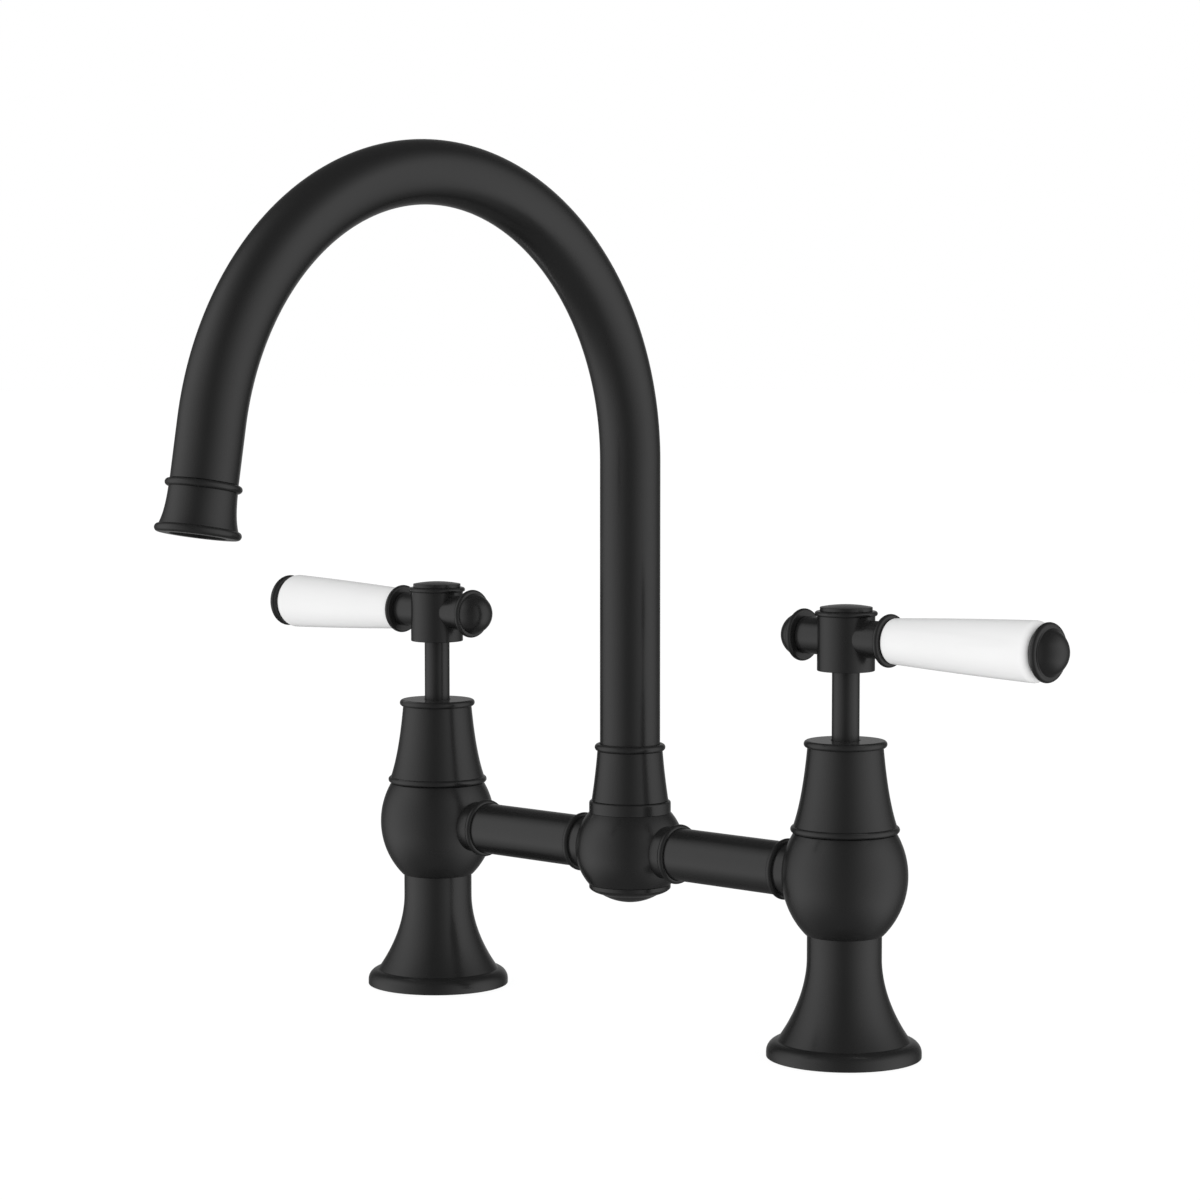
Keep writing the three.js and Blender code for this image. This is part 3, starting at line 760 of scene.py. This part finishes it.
def centre_body():
    chamber, floor, top = CHAMBER
    blank = turned(
        [
            (PLUG_BORE, CENTRE_HEIGHTS[0]),
            *belly((0, BRIDGE_HEIGHT), CENTRE_BALL, CENTRE_HEIGHTS, 28),
            (CENTRE_NECK, CENTRE_HEIGHTS[1]),
            (CENTRE_NECK, CENTRE_NECK_TOP),
            (SWIVEL_BORE, CENTRE_NECK_TOP),
            (SWIVEL_BORE, top),
            (chamber, top),
            (chamber, floor),
            (PLUG_BORE, floor),
        ],
        sides=128,
        edge=0.06,
    )
    for facing in (Matrix(), turn(180, "Z")):
        for tool in seat_tools(CENTRE_SEAT, FOOT_RADIUS, facing):
            blank = combined(blank, "DIFFERENCE", tool)
    return blank


def plug():
    flange, flange_top = PLUG_FLANGE
    spigot, spigot_top = PLUG_SPIGOT
    edge = math.degrees(math.acos(PLUG_DOME_EDGE / PLUG_DOME))
    dome = arc((0, PLUG_APEX + PLUG_DOME), PLUG_DOME, -90, -edge, 18)
    scotia = [dome[-1], (11.2, 46.3), (13.8, 46.6), (flange, 48.2)]
    return turned(
        [
            *dome,
            *curve(scotia, 12)[1:],
            (flange, flange_top),
            (spigot, flange_top),
            (spigot, spigot_top),
            (0, spigot_top),
        ],
        sides=128,
    )


def lock_ring():
    radius, bottom, top, rounding = LOCK_RING
    outline = [
        (SCREWED_BORE, bottom),
        (radius, bottom),
        *arc((radius - rounding, top - rounding), rounding, 0, 90, 6),
        (SCREWED_BORE, top),
    ]
    return turned(outline, sides=128, edge=0.06)


def hood():
    cone_top = HOOD_BEAD[1] - HOOD_BEAD[2]
    return turned(
        [
            (SCREWED_BORE, HOOD_CONE[0][1]),
            *curve([*HOOD_CONE, (HOOD_HEAD, cone_top)], 16),
            *bead(*HOOD_BEAD),
            (HOOD_BORE, HOOD_BEAD[1] + HOOD_BEAD[2]),
            (HOOD_BORE, HOOD_SHOULDER),
            (SCREWED_BORE, HOOD_SHOULDER),
        ],
        sides=128,
        edge=0.08,
    )


coated("centre_body", centre_body(), MIDDLE)
coated("bottom_plug", plug(), MIDDLE)
coated("lock_ring", lock_ring(), MIDDLE)
coated("spout_hood", hood(), MIDDLE)


# ---- Spout ----
# The gooseneck is one length of 22 mm tube, bent on a mandrel and coated. It is brazed to a brass
# nipple that turns in the centre body on two O-rings.
SPOUT_RADIUS = 11
SPOUT_BORE = 9.6
SPOUT_BOTTOM = 85.5
SPRINGING = 204.3  # height at which the bend starts
BEND_RADIUS = 100.4
BEND = 170
SPOUT_END = 19.1  # length of the straight end after the bend
BEND_STEPS = 120


def moved_faces(step):
    return [item for item in step if isinstance(item, bmesh.types.BMFace)]


def pulled(mesh, faces, way):
    """Draws the tube's end on in a straight line and returns the new end. The old one stays."""
    step = bmesh.ops.extrude_face_region(mesh, geom=faces, use_keep_orig=True)["geom"]
    verts = [item for item in step if isinstance(item, bmesh.types.BMVert)]
    bmesh.ops.translate(mesh, vec=way, verts=verts)
    return moved_faces(step)


def spout_tube():
    mesh = bmesh.new()
    for radius in (SPOUT_BORE, SPOUT_RADIUS):
        bmesh.ops.create_circle(
            mesh, cap_ends=False, segments=96, radius=radius, matrix=shift(z=SPOUT_BOTTOM)
        )
    end = bmesh.ops.bridge_loops(mesh, edges=mesh.edges[:])["faces"]
    riser = pulled(mesh, end, (0, 0, SPRINGING - SPOUT_BOTTOM))
    bend = bmesh.ops.spin(
        mesh, geom=riser, cent=(0, -BEND_RADIUS, SPRINGING), axis=(1, 0, 0),
        angle=math.radians(BEND), steps=BEND_STEPS,
    )
    bent = moved_faces(bend["geom_last"])
    pulled(mesh, bent, Vector((0, 0, SPOUT_END)) @ turn(-BEND, "X").to_3x3())
    bmesh.ops.delete(mesh, geom=riser + bent, context="FACES_KEEP_BOUNDARY")
    bmesh.ops.recalc_face_normals(mesh, faces=mesh.faces[:])
    return mesh


coated("spout_tube", spout_tube(), MIDDLE, "spout")
dress("spout_nipple", plain_brass)
dress("lower_swivel_o_ring", rubber)
dress("upper_swivel_o_ring", rubber)


# ---- Nozzle ----
# A belled nozzle with a bead and a rolled lip is brazed on the tube's end. A plastic aerator with
# a honeycomb screen sits in its mouth against a rubber washer.
outlet = shift(y=-BEND_RADIUS, z=SPRINGING) @ turn(BEND, "X") @ shift(y=BEND_RADIUS)
NOZZLE_START = 19.2
NOZZLE_TAIL = (7.5, 9.3, 12)  # bore, radius and start of the tail in the tube
NOZZLE_BEAD = (12.45, 20.55, 1.25)
NOZZLE_LIP = (14, 35.3, 1.4)
NOZZLE_MOUTH = (9.1, 24)  # radius and bottom of the bore for the aerator
AERATOR = (8.9, 26.8, 35.6)  # radius, start and end
SCREEN_AT = 34.6
SCREEN_RADIUS = 7.6
SCREEN_HOLD = 0.6  # how far the screen reaches into the aerator's wall
SCREEN_THICKNESS = 1.2
CELL = 1.25
WEB_THICKNESS = 0.16


def nozzle():
    bell_start = NOZZLE_BEAD[1] + NOZZLE_BEAD[2]
    bell_end = NOZZLE_LIP[1] - NOZZLE_LIP[2]
    bell = [(11.1, bell_start), (11.2, 27), (11.7, 31), (12.75, bell_end)]
    bore, tail, tail_start = NOZZLE_TAIL
    mouth, mouth_bottom = NOZZLE_MOUTH
    return turned(
        [
            (bore, tail_start),
            (tail, tail_start),
            (tail, NOZZLE_START),
            *bead(*NOZZLE_BEAD),
            *curve(bell, 16),
            *bead(*NOZZLE_LIP),
            (mouth, NOZZLE_LIP[1] + NOZZLE_LIP[2]),
            (mouth, mouth_bottom),
            (bore, mouth_bottom),
        ],
        edge=0.12,
    )


def honeycomb(radius, cell, web, depth):
    """A plate of six-sided holes, open through its thickness, within a radius."""
    mesh = bmesh.new()
    step_x, step_y = cell * math.sqrt(3), cell * 1.5
    reach = int(radius / step_y)
    for row in range(-reach, reach + 1):
        for column in range(-reach, reach + 1):
            middle = Vector(((column + 0.5 * (row % 2)) * step_x, row * step_y, 0))
            if middle.length < radius:
                bmesh.ops.create_circle(
                    mesh, cap_ends=True, segments=6, radius=cell, matrix=shift(*middle)
                )
    bmesh.ops.remove_doubles(mesh, verts=mesh.verts[:], dist=0.01 * cell)
    cells = mesh.faces[:]
    bmesh.ops.inset_individual(mesh, faces=cells, thickness=web, use_even_offset=True)
    bmesh.ops.delete(mesh, geom=cells, context="FACES")
    bmesh.ops.recalc_face_normals(mesh, faces=mesh.faces[:])
    bmesh.ops.solidify(mesh, geom=mesh.faces[:], thickness=depth)
    return mesh


def aerator():
    mesh = ring(SCREEN_RADIUS, *AERATOR, edge=0.3)
    screen = honeycomb(SCREEN_RADIUS + SCREEN_HOLD, CELL, WEB_THICKNESS, SCREEN_THICKNESS)
    bmesh.ops.translate(screen, vec=(0, 0, SCREEN_AT), verts=screen.verts[:])
    data = bpy.data.meshes.new("screen")
    screen.to_mesh(data)
    screen.free()
    mesh.from_mesh(data)
    bpy.data.meshes.remove(data)
    return mesh


def moulded_plastic():
    """Dark grey moulded plastic with the mould's fine texture."""
    plastic = Finish("dark plastic", Specular_IOR_Level=0.4)
    grain = plastic.noise(0.0004, 3.0)
    darker, lighter = (0.040, 0.041, 0.043, 1), (0.055, 0.056, 0.058, 1)
    plastic.set("Base Color", plastic.blend(grain, darker, lighter))
    plastic.set("Roughness", 0.42 + 0.15 * grain)
    plastic.bump(grain, 0.00003)
    return plastic.material


plastic = moulded_plastic()
coated("nozzle", nozzle(), outlet, "spout")
finished("aerator", aerator(), outlet, plastic, "spout")
dress("aerator_washer", rubber)


# ---- Studio ----
# The tap stands on white paper between two broad white screens, one on its left and one on its
# right, with a low pale wall behind it. The rest of the room is grey, and so is what the coat
# mirrors of it: a soft dark stripe down its middle and dark upper and lower sides.
FLOOR_GREY = 0.13  # the room's grey straight below
CEILING_GREY = 0.06  # and straight above
SCREEN_WHITE = 0.89  # above the room's grey
SCREEN_TILT = 5  # degrees by which the left screen stands higher than the right one
FRONT_TURN = -5  # degrees from the camera to the middle of the gap in front
BACK_TURN = -5  # the same for the gap behind the tap
FRONT_GAP = (0, 0.67)  # half the distance from the gap's middle where a screen starts and ends
BACK_GAP = (0.33, 0.78)
BACK_WALL = (0.32, 0.6, 0.3)  # how far the wall behind reaches, across and up, and its shade
SCREEN_EDGE = (0.44, 1.0)  # the sine of the height where a screen fades out
SCREEN_RISE = 0.035  # how far the screens' middle stands above the level
OVERHEAD = (0.3, 0.9, 0.78)  # for matt surfaces: where the room grows darker, and its shade
FLOOR_SIZE = 30
FLOOR_DROP = 0.0003  # below the feet, so that no two faces lie in one plane
FLOOR_SHADE = 0.12  # how much of a shadow shows on the floor
FLOOR_GLOW = 1.06
LOOK_AT = Vector((-0.0081, -0.0074, 0.1538))
AZIMUTH = 42.505
ELEVATION = 4.318
DISTANCE = 1.20494
LENS = 99.22
LAMP_SIZE = 1.4
LAMP_POWER = 4.2
LAMP_PLACE = (AZIMUTH - 20, 8, 1.6)  # azimuth, elevation and distance


def seen_directly(nodes):
    """1 for rays that see the background itself, in the camera, a gloss or a glass."""
    kinds = ("Is Camera Ray", "Is Glossy Ray", "Is Transmission Ray")
    camera, gloss, glass = (nodes.node("LightPath", output=kind) for kind in kinds)
    return camera.maths("MAXIMUM", camera.maths("MAXIMUM", camera, gloss), glass)


class Room(Nodes):
    """The world's nodes: shades of the room by direction."""

    def fade(self, value, start, end, first, last):
        """Goes smoothly from the first number to the last between two values."""
        settings = {"interpolation_type": "SMOOTHSTEP"}
        sockets = {"Value": value, 1: start, 2: end, 3: first, 4: last}
        return self.node("MapRange", settings, sockets)

    def vector_maths(self, operation, first, second=None, output=0):
        sockets = {0: first} if second is None else {0: first, 1: second}
        return self.node("VectorMath", {"operation": operation}, sockets, output)

    def half_distance(self, heading, target):
        """Half the distance between two level directions of length 1."""
        return 0.5 * self.vector_maths("DISTANCE", heading, target, "Value")


world = bpy.data.worlds.new("white room")
world.use_nodes = True
bpy.context.scene.world = world
room = Room(world.node_tree)
direction = room.node("TexCoord", output="Generated")
height = room.node("SeparateXYZ", {}, {0: direction}, "Z")
heading = room.vector_maths("NORMALIZE", room.vector_maths("MULTIPLY", direction, (1, 1, 0)))
front = turn(AZIMUTH + FRONT_TURN, "Z") @ Vector((0, -1, 0))
back = turn(AZIMUTH + BACK_TURN, "Z") @ Vector((0, 1, 0))
across = Vector((front.y, -front.x, 0))
tilt = math.radians(SCREEN_TILT)
upright = Vector((0, 0, math.cos(tilt))) - across * math.sin(tilt)
ahead = room.fade(room.half_distance(heading, front), *FRONT_GAP, 0, 1)
from_back = room.half_distance(heading, back)
behind = room.fade(from_back, *BACK_GAP, 0, 1)
wide, high, white = BACK_WALL
near_level = room.fade(height.maths("ABSOLUTE", height), 0, high, 1, 0)
wall = room.fade(from_back, 0, wide, white, 0) * near_level
level = room.vector_maths("DOT_PRODUCT", direction, upright, "Value") - SCREEN_RISE
within = room.fade(level.maths("ABSOLUTE", level), *SCREEN_EDGE, 1, 0)
grey = room.fade(height, -1, 1, FLOOR_GREY, CEILING_GREY)
in_gloss = grey + wall + SCREEN_WHITE * ahead * behind * within
start, end, shade = OVERHEAD
in_matt = room.fade(height, start, end, 1, shade)
gloss = room.node("LightPath", output="Is Glossy Ray")
matt = room.node("LightPath", output="Is Diffuse Ray")
strength = 1 + gloss * (in_gloss - 1) + matt * (in_matt - 1)
room.plug(world.node_tree.nodes["Background"].inputs["Strength"], strength)
world.node_tree.nodes["Background"].inputs["Color"].default_value = (1, 1, 1, 1)


def floor_mesh():
    mesh = bmesh.new()
    bmesh.ops.create_grid(mesh, x_segments=1, y_segments=1, size=FLOOR_SIZE / 2)
    bmesh.ops.translate(mesh, vec=(0, 0, -FLOOR_DROP), verts=mesh.verts[:])
    return mesh


def white_paper():
    """Matt white paper. Most of what shows of it is the room's white, so its shadows are soft."""
    paper = Finish("white paper", Roughness=1.0, Specular_IOR_Level=0.0)
    fibres = paper.noise(0.002, 3.0)
    paper.set("Base Color", paper.blend(fibres, (0.90, 0.90, 0.90, 1), (0.94, 0.94, 0.94, 1)))
    glow = paper.node("Emission", {}, {"Color": (1, 1, 1, 1), "Strength": FLOOR_GLOW})
    share = seen_directly(paper) * (1 - FLOOR_SHADE)
    shader = Wire(paper, paper.shader.outputs[0])
    both = paper.node("MixShader", {}, {0: share, 1: shader, 2: glow})
    paper.plug(paper.tree.nodes["Material Output"].inputs["Surface"], both)
    return paper.material


sheet = bpy.data.meshes.new("floor")
grid = floor_mesh()
grid.to_mesh(sheet)
grid.free()
sheet.materials.append(white_paper())
floor = bpy.data.objects.new("floor", sheet)
bpy.context.scene.collection.objects.link(floor)
floor.visible_glossy = False
floor.visible_diffuse = False


def from_object(azimuth, elevation, distance):
    """A place round the tap that looks back at it: azimuth 0 is in front, 90 on its right."""
    round_and_up = turn(azimuth, "Z") @ turn(90 - elevation, "X")
    return Matrix.Translation(LOOK_AT) @ round_and_up @ shift(z=distance)


lamp = bpy.data.lights.new("soft_box", "AREA")
lamp.shape = "SQUARE"
lamp.size = LAMP_SIZE
lamp.energy = LAMP_POWER
soft_box = bpy.data.objects.new("soft_box", lamp)
soft_box.matrix_world = from_object(*LAMP_PLACE)
soft_box.visible_glossy = False
bpy.context.scene.collection.objects.link(soft_box)

eye = bpy.data.cameras.new("camera")
eye.sensor_width = 36
eye.lens = LENS
eye.clip_start = 0.05
eye.clip_end = 100
camera = bpy.data.objects.new("camera", eye)
camera.matrix_world = from_object(AZIMUTH, ELEVATION, DISTANCE)
bpy.context.scene.collection.objects.link(camera)
bpy.context.scene.camera = camera
bpy.context.scene.view_settings.view_transform = "Standard"
